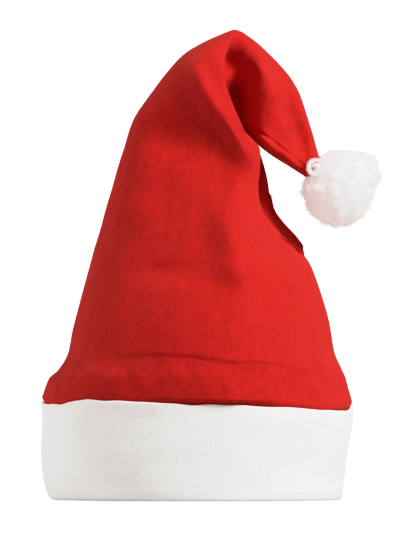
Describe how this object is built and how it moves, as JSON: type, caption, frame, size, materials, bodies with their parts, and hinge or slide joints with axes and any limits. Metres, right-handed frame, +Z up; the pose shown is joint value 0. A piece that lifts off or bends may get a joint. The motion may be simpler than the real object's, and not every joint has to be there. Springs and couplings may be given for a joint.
{
  "type": "santa hat",
  "caption": "Red felt santa hat standing on its white band, its tip folded over to one side with a white pompom.",
  "frame": {"origin": "middle of the hat's box, at the height of the rim that it stands on", "axes": "+Z up through the hat, +Y towards the back of the head, +X towards the hanging tip"},
  "size_m": [0.2104, 0.1858, 0.2918],
  "materials": {
    "red_felt": "matte felt",
    "white_felt": "matte felt",
    "white_fibre": "soft fibre"
  },
  "bodies": {
    "root": {"crown": "red_felt", "band": "white_felt", "pompom": "white_fibre"}
  },
  "joints": []
}
